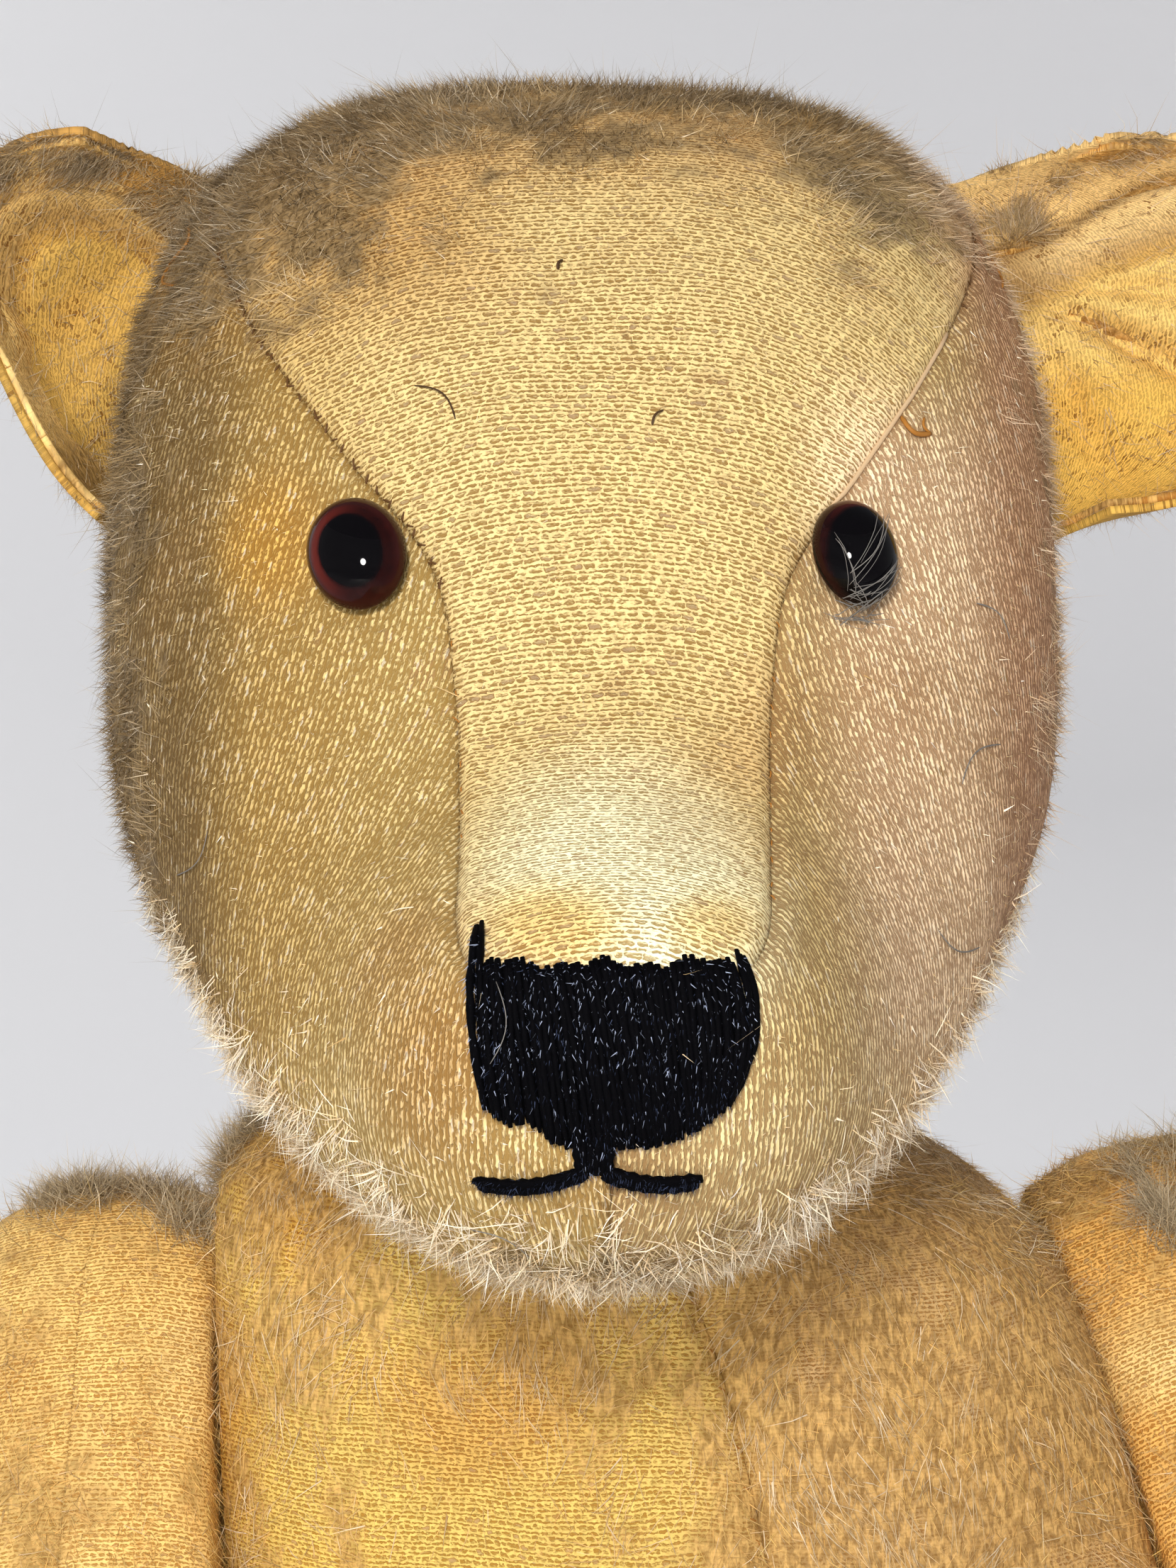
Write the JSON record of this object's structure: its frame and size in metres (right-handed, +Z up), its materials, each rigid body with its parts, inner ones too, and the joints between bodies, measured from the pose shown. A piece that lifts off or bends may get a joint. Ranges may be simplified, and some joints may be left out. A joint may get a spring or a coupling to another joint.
{
  "type": "jointed teddy bear",
  "caption": "Threadbare jointed mohair teddy bear sitting upright, with worn woven cloth showing, bare cotton ears, glass eyes and a stitched nose and mouth.",
  "frame": {"origin": "on the flat of the seat, straight below the neck joint", "axes": "+Z up, -Y the way the face looks, +X towards the bear's own left"},
  "size_m": [0.1906, 0.1522, 0.2624],
  "materials": {
    "mohair": "golden mohair plush worn down to its woven cotton backing, with taupe pile left in places",
    "cotton": "bare golden woven cotton, creased",
    "felt": "thin wool felt, rubbed and soiled",
    "wood_wool": "packed fine wood shavings",
    "floss": "black cotton floss with a soft sheen",
    "glass": "polished dark reddish-brown glass with a black pupil",
    "steel": "dull steel wire",
    "hardboard": "pressed board"
  },
  "bodies": {
    "torso": {"torso_left": "mohair", "torso_right": "mohair", "torso_stuffing": "wood_wool", "neck_disc_torso": "hardboard", "neck_pin": "steel", "arm_disc_left_torso": "hardboard", "arm_pin_left": "steel", "leg_disc_left_torso": "hardboard", "leg_pin_left": "steel", "arm_disc_right_torso": "hardboard", "arm_pin_right": "steel", "leg_disc_right_torso": "hardboard", "leg_pin_right": "steel"},
    "head": {"head_gusset": "mohair", "head_side_left": "mohair", "head_side_right": "mohair", "head_stuffing": "wood_wool", "neck_disc_head": "hardboard", "eye_left": "glass", "eye_right": "glass", "eye_shank_left": "steel", "eye_shank_right": "steel", "nose_stitching": "floss", "mouth_stitching": "floss", "ear_left_front": "cotton", "ear_left_back": "mohair", "ear_right_front": "cotton", "ear_right_back": "mohair"},
    "arm_left": {"arm_left_outer": "mohair", "arm_left_inner": "mohair", "paw_pad_left": "felt", "arm_left_stuffing": "wood_wool", "arm_disc_left": "hardboard"},
    "leg_left": {"leg_left_outer": "mohair", "leg_left_inner": "mohair", "foot_pad_left": "felt", "leg_left_stuffing": "wood_wool", "leg_disc_left": "hardboard"},
    "arm_right": {"arm_right_outer": "mohair", "arm_right_inner": "mohair", "paw_pad_right": "felt", "arm_right_stuffing": "wood_wool", "arm_disc_right": "hardboard"},
    "leg_right": {"leg_right_outer": "mohair", "leg_right_inner": "mohair", "foot_pad_right": "felt", "leg_right_stuffing": "wood_wool", "leg_disc_right": "hardboard"}
  },
  "joints": [
    {"name": "neck_swivel", "type": "hinge", "parent": "torso", "child": "head", "pos_m": [0, 0, 0.156], "axis": [0, 0, 1], "continuous": true},
    {"name": "shoulder_left", "type": "hinge", "parent": "torso", "child": "arm_left", "pos_m": [0.0555, 0.003, 0.1265], "axis": [-0.9703, 0, -0.2419], "range_deg": [-20, 70]},
    {"name": "shoulder_right", "type": "hinge", "parent": "torso", "child": "arm_right", "pos_m": [-0.038, -0.002, 0.1265], "axis": [-0.9976, 0, -0.0698], "range_deg": [-10, 80]},
    {"name": "hip_left", "type": "hinge", "parent": "torso", "child": "leg_left", "pos_m": [0.0635, -0.002, 0.0233], "axis": [0.9848, 0.1736, 0], "range_deg": [0, 90]},
    {"name": "hip_right", "type": "hinge", "parent": "torso", "child": "leg_right", "pos_m": [-0.0265, -0.002, 0.0233], "axis": [0.9848, -0.1736, 0], "range_deg": [0, 90]}
  ]
}
